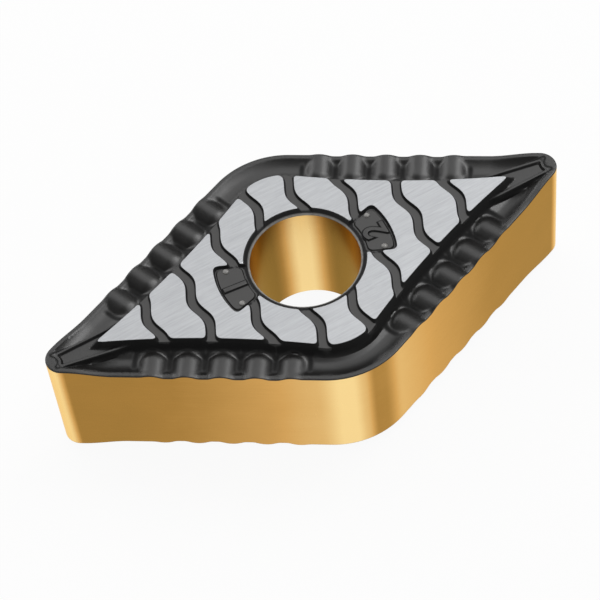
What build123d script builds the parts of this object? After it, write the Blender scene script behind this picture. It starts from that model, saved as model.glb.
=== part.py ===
from build123d import *
import math
import os

# ---------------------------------------------------------------- driving dimensions (mm)
inscribed_circle = 12.7        # circle that touches all four flanks
nose_angle = 55.0              # corner angle of the two cutting noses
nose_radius = 0.8
obtuse_radius = 4.0            # rounding of the two blunt corners
thickness = 6.35               # cutting corner to the opposite seat
seat_rise = 0.20               # seat pads stand proud of the cutting corner
bore_diameter = 5.16

rim_drop = 0.27                # long cutting edges lie below the nose
land_width = 0.25              # flat land behind the cutting edge
groove_depth = 0.19            # chip groove below the land
groove_inset = 0.95            # where the groove bottoms out, from the edge
foot_inset = 1.22              # foot of the seat wall, from the edge
wall_lean = 0.36               # the seat wall leans in by this much
waist_pinch = 0.28             # the seat narrows at the middle of each side

nose_rise_start = 10.3         # the rim begins to climb to the nose at this x
rib_half_width = 0.32
rib_end = 12.42                # x of the forked tip of the nose rib
rib_sink = 0.10                # rib top below the cutting corner
fork_radius = 0.36
rib_overlap = 0.6              # the rib runs this far into the seat wall

finger_count = 5
finger_pitch = 1.6
finger_first = 0.23            # first crest, along the edge from its middle foot
finger_rise = 0.075            # crest above the land
finger_dip = 0.085             # hollow between two fingers, below the land
finger_reach = 1.42            # inner end of the fingers, from the edge
finger_fall = 6.0              # degrees, the fingers fall away from the edge
finger_slope = 0.26            # sloped inner ends of the fingers
finger_root = 0.15             # the bank runs this deep into the body

channel_depth = 0.16
channel_width = 0.50
channel_pitch = 2.22           # spacing of the cross channels along the long diagonal
channel_first = 1.02
channel_sway = 0.15            # side-to-side wave of a channel
channel_wave = 2.4             # wave length along the channel
channels_per_side = 4

ring_radius = 2.87             # seat edge round the bore
ring_foot = 2.66
plate_reach = 4.28             # outer radius of the two index plates
plate_half_angle = 20.0        # degrees
plate_corner = 0.28

# ---------------------------------------------------------------- derived sizes
half_angle = math.radians(nose_angle / 2)
edge_distance = inscribed_circle / 2
nose_z = (thickness - seat_rise) / 2
seat_z = nose_z + seat_rise
rim_z = nose_z - rim_drop
groove_z = rim_z - groove_depth
floor_z = seat_z - channel_depth
tip_x = (edge_distance - nose_radius) / math.sin(half_angle) + nose_radius
blunt_y = (edge_distance - obtuse_radius) / math.cos(half_angle) + obtuse_radius
nose_tilt = math.degrees(math.atan(rim_drop / (tip_x - nose_rise_start)))
along = (math.cos(half_angle), -math.sin(half_angle))      # towards the +X nose
outward = (math.sin(half_angle), math.cos(half_angle))


def side_points(inset, tip_round, blunt_round):
    """Tangent points of one quarter of the rhombic outline: nose side, then blunt side."""
    reach = edge_distance - inset
    nose_x = (reach - tip_round) / math.sin(half_angle)
    blunt_c = (reach - blunt_round) / math.cos(half_angle)
    near_nose = (nose_x + tip_round * outward[0], tip_round * outward[1])
    near_blunt = (blunt_round * outward[0], blunt_c + blunt_round * outward[1])
    return near_nose, near_blunt, nose_x + tip_round, blunt_c + blunt_round


def rhombic_outline(inset, tip_round, blunt_round, pinch=0.0):
    """Face of the rounded rhombus, drawn with four sides and four corner arcs."""
    near_nose, near_blunt, tip, blunt = side_points(inset, tip_round, blunt_round)
    waist = ((near_nose[0] + near_blunt[0]) / 2 - pinch * outward[0],
             (near_nose[1] + near_blunt[1]) / 2 - pinch * outward[1])
    turns = [(1, 1), (-1, 1), (-1, -1), (1, -1)]
    with BuildSketch() as outline:
        with BuildLine():
            for sx, sy in turns:
                start = (sx * near_nose[0], sy * near_nose[1])
                end = (sx * near_blunt[0], sy * near_blunt[1])
                if pinch:
                    ThreePointArc(start, (sx * waist[0], sy * waist[1]), end)
                else:
                    Line(start, end)
            for s in (1, -1):
                ThreePointArc((s * near_nose[0], near_nose[1]), (s * tip, 0),
                              (s * near_nose[0], -near_nose[1]))
                ThreePointArc((near_blunt[0], s * near_blunt[1]), (0, s * blunt),
                              (-near_blunt[0], s * near_blunt[1]))
        make_face()
    return outline.sketch


body_outline = rhombic_outline(0, nose_radius, obtuse_radius)
land_outline = rhombic_outline(land_width, nose_radius - land_width, obtuse_radius - land_width)
groove_outline = rhombic_outline(groove_inset, 0.08, obtuse_radius - groove_inset)
foot_outline = rhombic_outline(foot_inset, 0.12, obtuse_radius - foot_inset, waist_pinch)
seat_outline = rhombic_outline(foot_inset + wall_lean, 0.15,
                               obtuse_radius - foot_inset - wall_lean, waist_pinch)

# the chip groove as a solid: a shallow tray that opens upwards
with BuildPart() as groove_tray:
    with BuildSketch(Plane.XY.offset(groove_z)):
        add(groove_outline)
    with BuildSketch(Plane.XY.offset(rim_z)):
        add(land_outline)
    loft(ruled=True)
    with BuildSketch(Plane.XY.offset(rim_z)):
        add(land_outline)
    extrude(amount=2 * rim_drop)

# a bank of finger ridges on one edge: x along the edge, y inwards, z up from the land
fall = math.tan(math.radians(finger_fall))
quarter = finger_pitch / 4
wave_mid = (finger_rise - finger_dip) / 2
bank_start = finger_first - quarter
bank_end = finger_first + (finger_count - 1) * finger_pitch + quarter
lip = finger_rise - fall * finger_reach     # top of the sloped inner ends
bank_root = min(-groove_depth, lip - finger_slope) - finger_root
with BuildPart() as wave_bar:
    with BuildSketch(Plane.XZ):
        with BuildLine():
            for i in range(finger_count):
                crest = finger_first + i * finger_pitch
                ThreePointArc((crest - quarter, wave_mid), (crest, finger_rise),
                              (crest + quarter, wave_mid))
                if i < finger_count - 1:
                    ThreePointArc((crest + quarter, wave_mid),
                                  (crest + 2 * quarter, -finger_dip),
                                  (crest + 3 * quarter, wave_mid))
            Polyline((bank_end, wave_mid), (bank_end, 2 * bank_root), (bank_start, 2 * bank_root),
                     (bank_start, wave_mid))
        make_face()
    extrude(amount=2 * finger_reach, both=True)
with BuildPart() as finger_bank:
    add(Rot(-finger_fall, 0, 0) * wave_bar.part)
    with BuildSketch(Plane.YZ.offset(bank_start)):
        with BuildLine():
            Polyline((0, bank_root), (0, rim_drop), (finger_reach - finger_slope, rim_drop),
                     (finger_reach - finger_slope, lip), (finger_reach, lip - finger_slope),
                     (finger_reach, bank_root), close=True)
        make_face()
    extrude(amount=bank_end - bank_start, mode=Mode.INTERSECT)

with BuildPart() as bank_seat:
    with Locations(((bank_start + bank_end) / 2, finger_reach / 2, 0)):
        Box(bank_end - bank_start, finger_reach, 2 * groove_depth)


# the edge between the +X nose and the +Y corner; the bank is flipped over to face inwards
edge_foot = Plane(origin=(edge_distance * outward[0], edge_distance * outward[1], rim_z),
                  x_dir=(-along[0], -along[1], 0), z_dir=(0, 0, 1))


def channel_side(x, sway):
    """One side of a cross channel: equal arcs that swing left and right of x in turn."""
    half_wave = channel_wave / 2
    swings = math.ceil(blunt_y / half_wave) - 1
    for k in range(-swings, swings + 1):
        y = k * half_wave
        swing = sway if k % 2 == 0 else -sway
        ThreePointArc((x, y - half_wave / 2), (x + swing, y), (x, y + half_wave / 2))
    return (swings + 0.5) * half_wave


def channel_face(x_centre, sway):
    """One cross channel seen from above: a wave-shaped band of even width."""
    with BuildSketch() as band:
        with BuildLine():
            reach = channel_side(x_centre - channel_width / 2, sway)
            channel_side(x_centre + channel_width / 2, sway)
            for y in (-reach, reach):
                Line((x_centre - channel_width / 2, y), (x_centre + channel_width / 2, y))
        make_face()
    return band.sketch


with BuildPart() as upper_half:
    # blank up to the long cutting edges
    with BuildSketch():
        add(body_outline)
    extrude(amount=rim_z)

    # noses climb from the long edges to the cutting corners
    with BuildPart(mode=Mode.PRIVATE) as nose_cap:
        with BuildSketch(Plane.XZ):
            with BuildLine():
                Polyline((nose_rise_start, rim_z), (tip_x, nose_z),
                         (tip_x, groove_z), (nose_rise_start, groove_z), close=True)
            make_face()
        extrude(amount=blunt_y, both=True)
        with BuildSketch():
            add(body_outline)
        extrude(amount=seat_z, mode=Mode.INTERSECT)
    add(nose_cap.part)
    add(mirror(nose_cap.part, about=Plane.YZ, mode=Mode.PRIVATE))

    # chip groove along the sides, tilted with the rim at the noses
    with BuildPart(mode=Mode.PRIVATE) as side_groove:
        add(groove_tray.part)
        Box(2 * nose_rise_start, 4 * blunt_y, 4 * seat_z, mode=Mode.INTERSECT)
    add(side_groove.part, mode=Mode.SUBTRACT)
    with BuildPart(mode=Mode.PRIVATE) as nose_groove:
        hinge = Location((nose_rise_start, 0, rim_z))
        add((hinge * Rot(0, -nose_tilt, 0) * hinge.inverse()) * groove_tray.part)
        with Locations((nose_rise_start + tip_x / 2, 0, 0)):
            Box(tip_x, 4 * blunt_y, 4 * seat_z, mode=Mode.INTERSECT)
    add(nose_groove.part, mode=Mode.SUBTRACT)
    add(mirror(nose_groove.part, about=Plane.YZ, mode=Mode.PRIVATE), mode=Mode.SUBTRACT)

    # finger ridges along the four edges
    with BuildPart(mode=Mode.PRIVATE) as quarter_seat:
        add(edge_foot.location * mirror(bank_seat.part, about=Plane.YZ, mode=Mode.PRIVATE))
    with BuildPart(mode=Mode.PRIVATE) as quarter_bank:
        add(edge_foot.location * mirror(finger_bank.part, about=Plane.YZ, mode=Mode.PRIVATE))
    for shape, how in ((quarter_seat.part, Mode.SUBTRACT), (quarter_bank.part, Mode.ADD)):
        add(shape, mode=how)
        add(mirror(shape, about=Plane.YZ, mode=Mode.PRIVATE), mode=how)
        add(mirror(shape, about=Plane.XZ, mode=Mode.PRIVATE), mode=how)
        add(Rot(0, 0, 180) * shape, mode=how)

    # seat pedestal with its leaning wall
    with BuildPart(mode=Mode.PRIVATE) as pedestal:
        with BuildSketch(Plane.XY.offset(groove_z - 0.1)):
            add(foot_outline)
        with BuildSketch(Plane.XY.offset(seat_z)):
            add(seat_outline)
        loft(ruled=True)
    add(pedestal.part)

    # nose ribs with forked tips
    with BuildPart(mode=Mode.PRIVATE) as ribs:
        seat_tip = side_points(foot_inset + wall_lean, 0.15, 1)[2]
        with BuildSketch(Plane.XY.offset(groove_z)):
            for s in (1, -1):
                with BuildLine():
                    Polyline((s * (seat_tip - rib_overlap), rib_half_width * 1.5),
                             (s * rib_end, rib_half_width),
                             (s * rib_end, -rib_half_width),
                             (s * (seat_tip - rib_overlap), -rib_half_width * 1.5), close=True)
                make_face()
            with Locations((rib_end + fork_radius * 0.45, 0), (-rib_end - fork_radius * 0.45, 0)):
                Circle(fork_radius, mode=Mode.SUBTRACT)
        extrude(amount=nose_z - rib_sink - groove_z)
    add(ribs.part)

    # cross channels, index plates and the bore ring, sunk into the seat
    with BuildSketch(Plane.XY.offset(floor_z)):
        for i in range(channels_per_side):
            x_centre = channel_first + i * channel_pitch
            add(channel_face(x_centre, channel_sway))
            add(channel_face(-x_centre, -channel_sway))
    extrude(amount=2 * channel_depth, mode=Mode.SUBTRACT)
    with BuildSketch(Plane.XY.offset(floor_z)):
        for turn in (0, 180):
            with BuildSketch(mode=Mode.PRIVATE) as plate:
                with BuildLine():
                    a = math.radians(plate_half_angle)
                    inner = [(ring_foot * math.cos(b), ring_foot * math.sin(b)) for b in (-a, a)]
                    outer = [(plate_reach * math.cos(b), plate_reach * math.sin(b)) for b in (-a, a)]
                    Line(inner[0], outer[0])
                    ThreePointArc(outer[0], (plate_reach, 0), outer[1])
                    Line(outer[1], inner[1])
                    Line(inner[1], inner[0])
                make_face()
                fillet(plate.vertices().group_by(Axis.X)[-1], plate_corner)
            add(Rot(0, 0, turn) * plate.sketch)
    extrude(amount=2 * channel_depth, mode=Mode.SUBTRACT)
    with BuildSketch(Plane.XZ):
        with BuildLine():
            Polyline((0, floor_z), (ring_foot, floor_z), (ring_radius, seat_z),
                     (ring_radius, 2 * seat_z), (0, 2 * seat_z), close=True)
        make_face()
    revolve(axis=Axis.Z, mode=Mode.SUBTRACT)

    # bore
    with BuildSketch():
        Circle(bore_diameter / 2)
    extrude(amount=seat_z, mode=Mode.SUBTRACT)

with BuildPart() as insert:
    add(upper_half.part)
    mirror(about=Plane.XY)

insert.part.label = "insert"
os.makedirs("parts", exist_ok=True)
export_step(insert.part, "parts/insert.step")
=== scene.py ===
import logging
import math
from dataclasses import dataclass, field
from enum import Enum, IntEnum
from functools import cached_property
from typing import Callable, Sequence, Union

import bmesh
import bpy
import numpy as np
from mathutils import Matrix, Vector
from mathutils.geometry import delaunay_2d_cdt


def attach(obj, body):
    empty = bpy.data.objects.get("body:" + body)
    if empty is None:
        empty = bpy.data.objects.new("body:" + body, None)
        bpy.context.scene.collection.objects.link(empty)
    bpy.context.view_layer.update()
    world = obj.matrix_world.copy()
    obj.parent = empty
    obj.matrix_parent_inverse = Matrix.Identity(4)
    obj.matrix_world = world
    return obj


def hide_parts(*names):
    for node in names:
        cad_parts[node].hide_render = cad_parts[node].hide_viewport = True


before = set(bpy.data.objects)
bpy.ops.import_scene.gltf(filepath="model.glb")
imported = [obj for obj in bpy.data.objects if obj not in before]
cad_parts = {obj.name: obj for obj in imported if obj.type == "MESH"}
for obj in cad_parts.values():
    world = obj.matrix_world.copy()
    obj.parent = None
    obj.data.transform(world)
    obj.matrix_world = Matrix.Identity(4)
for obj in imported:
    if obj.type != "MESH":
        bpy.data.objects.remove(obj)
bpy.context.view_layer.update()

LOG = logging.getLogger("turning_insert")
MM = 0.001
Array = np.ndarray
Thing = bpy.types.Object
Tree = bpy.types.NodeTree
Material = bpy.types.Material
Number = Union[int, float, "Term"]

# How near, in millimetres, a point or a wall's height counts as being there.
ON_EDGE = 2e-4
ON_BORE = 2e-3
ON_AXIS = 1e-5
ON_ROW = 1.2e-3
PAD_INSIDE = 2e-3
PAD_BORDER = -8e-3


class Finish(IntEnum):
    """Which finish a face of the insert carries."""

    FLANK = 0
    RAKE = 1
    SEAT = 2


class Row(Enum):
    """How a row of the flat sheet becomes part of the solid: its share of the height."""

    TOP = 1.0
    BELOW = 0.975
    MIDDLE = 0.5
    WAIST = 0.0


def new_object(name: str, data: bpy.types.ID) -> Thing:
    """A new object that is part of the scene.

    Args:
        name: The object's name.
        data: Its mesh, curve, camera or lamp.

    Returns:
        The object.
    """
    made = bpy.data.objects.new(name, data)
    bpy.context.scene.collection.objects.link(made)
    return made


def plain_mesh(source: Thing) -> bpy.types.Mesh:
    """The mesh that an object shows with its modifiers or curves worked out."""
    depsgraph = bpy.context.evaluated_depsgraph_get()
    return bpy.data.meshes.new_from_object(source.evaluated_get(depsgraph))


# ------------------------------------------------------------------ formulas made of nodes
class Term:
    """A value that a node tree works out, with ordinary arithmetic."""

    def __init__(self, maker: "NodeMaker", socket: bpy.types.NodeSocket) -> None:
        """Keeps the tree's maker and the socket that holds the value."""
        self.maker, self.socket = maker, socket

    def math(self, operation: str, *others: Number, clamp: bool = False) -> "Term":
        """Adds one Math node.

        Args:
            operation: Blender's name of the operation.
            others: The second and third operands.
            clamp: Whether the result is kept within 0 to 1.

        Returns:
            The node's result.
        """
        operands = dict(enumerate((self, *others)))
        return self.maker.term("ShaderNodeMath", operands, operation=operation, use_clamp=clamp)

    def __add__(self, other: Number) -> "Term":
        """Sum."""
        return self.math("ADD", other)

    def __sub__(self, other: Number) -> "Term":
        """Difference."""
        return self.math("SUBTRACT", other)

    def __mul__(self, other: Number) -> "Term":
        """Product."""
        return self.math("MULTIPLY", other)

    def __truediv__(self, other: Number) -> "Term":
        """Quotient."""
        return self.math("DIVIDE", other)

    def rest(self) -> "Term":
        """One minus the value."""
        return self * -1.0 + 1.0

    def within(self, low: Number, high: Number) -> "Term":
        """The value kept between two others."""
        return self.math("MAXIMUM", low).math("MINIMUM", high)

    def ramp(self, low: Number, high: Number) -> "Term":
        """A smooth step that runs from 0 at low to 1 at high."""
        operands = {0: self, 1: low, 2: high}
        return self.maker.term("ShaderNodeMapRange", operands, interpolation_type="SMOOTHSTEP")


class NodeMaker:
    """Adds nodes to a tree, with values, terms or sockets for their inputs."""

    def __init__(self, tree: Tree) -> None:
        """Keeps the tree and, later, its named inputs."""
        self.tree = tree
        self.names: dict[str, bpy.types.NodeTreeInterfaceSocket] = {}

    def add(self, kind: str, inputs: dict | None = None, **settings: object) -> bpy.types.Node:
        """Adds a node.

        Args:
            kind: Blender's name of the node type.
            inputs: Values, terms or sockets for the node's inputs, by name or number.
            settings: Properties of the node.

        Returns:
            The node.
        """
        node = self.tree.nodes.new(kind)
        for key, value in settings.items():
            setattr(node, key, value)
        for key, value in (inputs or {}).items():
            if isinstance(value, Term):
                self.tree.links.new(value.socket, node.inputs[key])
            else:
                node.inputs[key].default_value = value
        return node

    def term(self, kind: str, inputs: dict | None = None, output: int | str = 0,
             **settings: object) -> Term:
        """Adds a node and gives one of its outputs, the first one unless told otherwise."""
        return Term(self, self.add(kind, inputs, **settings).outputs[output])

    def open_ends(self) -> None:
        """Adds the nodes where a group's values come in and go out."""
        self.start = self.tree.nodes.new("NodeGroupInput")
        self.end = self.tree.nodes.new("NodeGroupOutput")

    def size(self, name: str, value: float | tuple, kind: str = "Float") -> Term:
        """Adds a named input to a group and gives its value.

        Args:
            name: The input's name.
            value: Its value unless it is changed.
            kind: Blender's name of its type.

        Returns:
            The input's value.
        """
        socket = self.tree.interface.new_socket(name, in_out="INPUT",
                                                socket_type=f"NodeSocket{kind}")
        socket.default_value = value
        self.names[name] = socket
        return Term(self, self.start.outputs[name])

    def sizes(self, **values: float) -> list[Term]:
        """Adds number inputs that are named after the keywords."""
        return [self.size(name.replace("_", " ").title(), value)
                for name, value in values.items()]

    def split(self, vector: Term) -> list[Term]:
        """The x, y and z of a vector."""
        node = self.add("ShaderNodeSeparateXYZ", {0: vector})
        return [Term(self, socket) for socket in node.outputs]

    def joined(self, x: Number, y: Number, z: Number) -> Term:
        """The vector of an x, y and z."""
        return self.term("ShaderNodeCombineXYZ", {0: x, 1: y, 2: z})


# ------------------------------------------------------------------ sizes
@dataclass(frozen=True)
class InsertSizes:
    """Sizes of the insert in millimetres."""

    inscribed_circle: float = 12.7
    nose_angle: float = 55.0
    nose_radius: float = 0.8
    blunt_radius: float = 4.0
    seat_height: float = 3.275
    nose_height: float = 3.075
    rim_height: float = 2.805
    floor_height: float = 3.115
    bore_radius: float = 2.58
    ring_radius: float = 2.87
    plate_reach: float = 4.28
    plate_half_angle: float = 20.0
    channel_first: float = 1.02
    channel_pitch: float = 2.22
    channel_width: float = 0.52
    channel_sway: float = 0.15
    channel_wave: float = 2.4
    channels: int = 4
    seat_inset: float = 1.58
    waist_pinch: float = 0.28
    pinch_middle: float = 3.82
    pinch_half: float = 5.05
    corner_ease: float = 0.42
    wall_slope: float = 2.1
    side_slope: float = 1.9
    ring_slope: float = 0.68
    tablet_margin: float = 0.11
    tablet_off_ring: float = 0.03
    tablet_rise: float = 0.06
    numeral_place: float = 3.57
    land_width: float = 0.22
    finger_first: float = 0.23
    finger_pitch: float = 1.6
    fingers: int = 5
    finger_straight: float = 1.0
    rib_half_width: float = 0.37
    rib_end: float = 12.42
    rib_length: float = 4.4
    rib_widening: float = 2.2
    fork_radius: float = 0.36
    rib_spread: float = 0.6
    fork_ahead: float = 0.45
    axis_ease: float = 0.10
    plate_ease: float = 0.30
    tablet_ease: float = 0.25
    channel_ease: float = 0.10
    ring_ease: float = 0.05
    rib_ease: float = 0.10
    fork_ease: float = 0.08

    @property
    def half_angle(self) -> float:
        """Half of the nose angle, in radians."""
        return math.radians(self.nose_angle / 2)

    @property
    def reach(self) -> float:
        """Distance of a flank from the middle."""
        return self.inscribed_circle / 2

    @property
    def nose_centre(self) -> float:
        """x of the nose radius's centre."""
        return (self.reach - self.nose_radius) / math.sin(self.half_angle)

    @property
    def blunt_centre(self) -> float:
        """y of the blunt corner's centre."""
        return (self.reach - self.blunt_radius) / math.cos(self.half_angle)

    @property
    def tablet_height(self) -> float:
        """Height of the top of a numeral's tablet."""
        return self.floor_height + self.tablet_rise

    def outline(self, inset: float, spacing: float) -> Array:
        """Points of a quarter of the outline, from the blunt corner to the nose tip.

        Args:
            inset: How far inside the cutting edge the points lie.
            spacing: Distance between points.

        Returns:
            The points, one row each.
        """
        normal_turn = math.pi / 2 - self.half_angle

        def arc(cx: float, cy: float, radius: float, start: float, end: float) -> list:
            """Points of an arc between two turns."""
            count = max(3, int(math.ceil(radius * abs(end - start) / spacing)))
            turns = np.linspace(start, end, count + 1)
            return [(cx + radius * math.cos(t), cy + radius * math.sin(t)) for t in turns]

        blunt = arc(0, self.blunt_centre, self.blunt_radius - inset, math.pi / 2, normal_turn)
        nose = arc(self.nose_centre, 0, self.nose_radius - inset, normal_turn, 0)
        start, end = np.array(blunt[-1]), np.array(nose[0])
        count = int(math.ceil(np.linalg.norm(end - start) / spacing))
        side = [tuple(start + (end - start) * k / count) for k in range(1, count)]
        return np.array(blunt + side + nose)


def soft_min(a: Array, b: Array, width: float) -> Array:
    """The lesser of two fields, eased over a width where they meet."""
    share = np.clip(0.5 + 0.5 * (b - a) / width, 0.0, 1.0)
    return b + (a - b) * share - width * share * (1.0 - share)


def rise(value: Array, start: float, length: float) -> Array:
    """A straight step that leaves 0 at a start and reaches 1 after a length."""
    return np.clip((value - start) / length, 0.0, 1.0)


def bell(value: Array, centre: float, spread: float) -> Array:
    """A bell curve that is 1 at its centre."""
    return np.exp(-((value - centre) / spread) ** 2)


@dataclass(frozen=True)
class SeatPlan:
    """Points of the insert seen from above: how far each lies from edges and borders.

    Attributes:
        sizes: The insert's sizes.
        x: The points' places along the insert, in millimetres.
        y: Their places across it.
    """

    sizes: InsertSizes
    x: Array
    y: Array

    @cached_property
    def along(self) -> Array:
        """Place along the cutting edge, growing towards the nose."""
        angle = self.sizes.half_angle
        return self.x * math.cos(angle) - self.y * math.sin(angle)

    @cached_property
    def inset(self) -> Array:
        """Distance inwards from the cutting edge."""
        s, x, y = self.sizes, self.x, self.y
        normal = (math.sin(s.half_angle), math.cos(s.half_angle))
        straight = s.reach - (x * normal[0] + y * normal[1])
        nose_x = x - s.nose_centre
        nose = s.nose_radius - np.hypot(nose_x, y)
        by_nose = (nose_x > 0) & (y * normal[0] < nose_x * normal[1])
        blunt_y = y - s.blunt_centre
        blunt = s.blunt_radius - np.hypot(x, blunt_y)
        by_blunt = (blunt_y > 0) & (x * normal[1] < blunt_y * normal[0])
        return np.where(by_nose, nose, np.where(by_blunt, blunt, straight))

    @cached_property
    def side_gap(self) -> Array:
        """Distance inwards from the seat's outer border, which is drawn in at mid-side."""
        s = self.sizes
        share = (self.along - s.pinch_middle) / s.pinch_half
        pinch = s.waist_pinch * np.clip(1.0 - share * share, 0.0, 1.0)
        near_axis = soft_min(self.inset, SeatPlan(s, self.x, -self.y).inset, s.axis_ease)
        here = np.where(self.x > s.ring_radius, near_axis, self.inset)
        return here - s.seat_inset - pinch

    @cached_property
    def channel_gap(self) -> Array:
        """Distance from the nearest cross channel."""
        s = self.sizes
        gap = np.full(np.shape(self.x), np.inf)
        for index in range(s.channels):
            centre = s.channel_first + index * s.channel_pitch
            centre = centre + s.channel_sway * np.cos(2 * math.pi * self.y / s.channel_wave)
            gap = np.minimum(gap, np.abs(self.x - centre) - s.channel_width / 2)
        return gap

    @cached_property
    def radius(self) -> Array:
        """Distance from the middle of the bore."""
        return np.hypot(self.x, self.y)

    @cached_property
    def bore_gap(self) -> Array:
        """Distance outwards from the bore."""
        return self.radius - self.sizes.bore_radius

    @cached_property
    def ring_gap(self) -> Array:
        """Distance outwards from the ring round the bore."""
        return self.radius - self.sizes.ring_radius

    @cached_property
    def plate_gap(self) -> Array:
        """Distance from the index plate, a slice of a ring with rounded corners."""
        s = self.sizes
        turn = np.abs(np.arctan2(self.y, np.maximum(self.x, 1e-9)))
        turn = turn - math.radians(s.plate_half_angle)
        return -soft_min(s.plate_reach - self.radius, -turn * self.radius, s.plate_ease)

    @cached_property
    def tablet(self) -> Array:
        """Distance inwards from the border of the low tablet that carries a numeral."""
        s = self.sizes
        inside_plate = -self.plate_gap - s.tablet_margin
        return soft_min(inside_plate, self.ring_gap - s.tablet_off_ring, s.tablet_ease)

    @cached_property
    def seat_fall(self) -> Array:
        """Height of the pads' walls below the seat; above 0 on top of the pads."""
        s = self.sizes
        across = soft_min(self.channel_gap, self.plate_gap, s.channel_ease) * s.wall_slope
        fall = soft_min(self.side_gap * s.side_slope, across, s.corner_ease)
        return soft_min(fall, self.ring_gap * s.ring_slope, s.ring_ease)

    @cached_property
    def rib_gap(self) -> Array:
        """Distance inwards from the border of the forked nose rib."""
        s = self.sizes
        widen = np.clip((s.rib_end - self.x) / s.rib_widening, 0.0, s.rib_widening)
        side = s.rib_half_width * (1.0 + s.rib_spread * widen) - np.abs(self.y)
        fork = np.hypot(self.x - s.rib_end - s.fork_ahead * s.fork_radius, self.y) - s.fork_radius
        body = soft_min(side, s.rib_end - self.x, s.rib_ease)
        body = soft_min(body, fork, s.fork_ease)
        return np.minimum(body, (self.x - (s.rib_end - s.rib_length)) + 0.3)

    @cached_property
    def shade(self) -> Array:
        """Painted light and shade on the black coating: painted light, up to 1, on pressed floors
        and tablet borders; painted shade, -1, on walls, along the cutting edge and on the ring
        round the bore.
        """
        # Painted light: the pressed floors are paler.
        floor = rise(-self.seat_fall, 0.19, 0.05) * rise(self.side_gap, -0.11, 0.03)
        # Painted shade: the moat round each tablet is kept dark.
        painted_dark_moat = (self.plate_gap < 0.0) & (self.tablet < 0.0)
        floor = np.where(painted_dark_moat, 0.0, floor * rise(self.ring_gap, -0.05, 0.05))
        # Painted highlight along each tablet's border.
        floor = floor + 0.7 * bell(self.tablet, 0.03, 0.03)
        # Painted shade on the pads' walls, then along the cutting edge.
        wall = rise(-self.seat_fall, 0.0, 0.02) * rise(self.seat_fall, -0.70, 0.45)
        wall = np.maximum(wall, 0.6 * bell(self.inset, 0.0, 0.05))
        shade = floor - wall * (1.0 - np.minimum(floor, 1.0)) + self.rib_painted_shading + self.finger_painted_shading
        # Painted shade: the ring round the bore is made fully dark.
        off_painted_dark_ring = rise(self.ring_gap, -0.06, 0.05)
        return off_painted_dark_ring * shade - (1.0 - off_painted_dark_ring)

    @cached_property
    def finger_painted_shading(self) -> Array:
        """Painted light and shade for the fingers: a painted highlight round the rounded ends and
        painted shade in the trench between them.
        """
        s = self.sizes
        along = self.along - s.finger_first
        number = np.clip(np.round(along / s.finger_pitch), 0, s.fingers - 1)
        ahead = np.maximum(self.inset - s.finger_straight, 0.0)
        away = np.hypot(along - number * s.finger_pitch, ahead)
        painted_highlight = 0.35 * bell(away, 0.42, 0.10) * rise(ahead, 0.0, 0.2)
        painted_shade = 0.9 * bell(away, 0.80, 0.16) * rise(self.inset, 0.25, 0.4)
        return np.where(self.side_gap < -0.15, painted_highlight - painted_shade, 0.0)

    @cached_property
    def rib_painted_shading(self) -> Array:
        """Painted light and shade for the nose rib: painted highlights on the rails and the
        channel floor, painted shade on its walls.
        """
        beside = rise(self.sizes.rib_end - self.x, 0.30, 0.15)
        painted_highlight = 0.30 * rise(self.rib_gap, 0.185, 0.03) + 0.25 * bell(self.rib_gap, 0.045, 0.035)
        painted_shade = bell(self.rib_gap, -0.06, 0.06) + beside * bell(self.rib_gap, 0.14, 0.042)
        return (painted_highlight - painted_shade) * rise(self.x, 8.6, 1.5) * (self.side_gap < -0.02)

    @cached_property
    def tone(self) -> Array:
        """Painted light on the gold coating, by place along the insert: painted highlights on the
        blunt corners and the nose tip, darker between them.
        """
        places = (0.0, 2.0, 3.0, 4.2, 6.0, 8.0, 10.0, 12.25, 12.6)
        tones = (0.70, 0.70, 0.62, 0.50, 0.38, 0.26, 0.20, 0.18, 0.98)
        return np.interp(self.x, places, tones)


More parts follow.
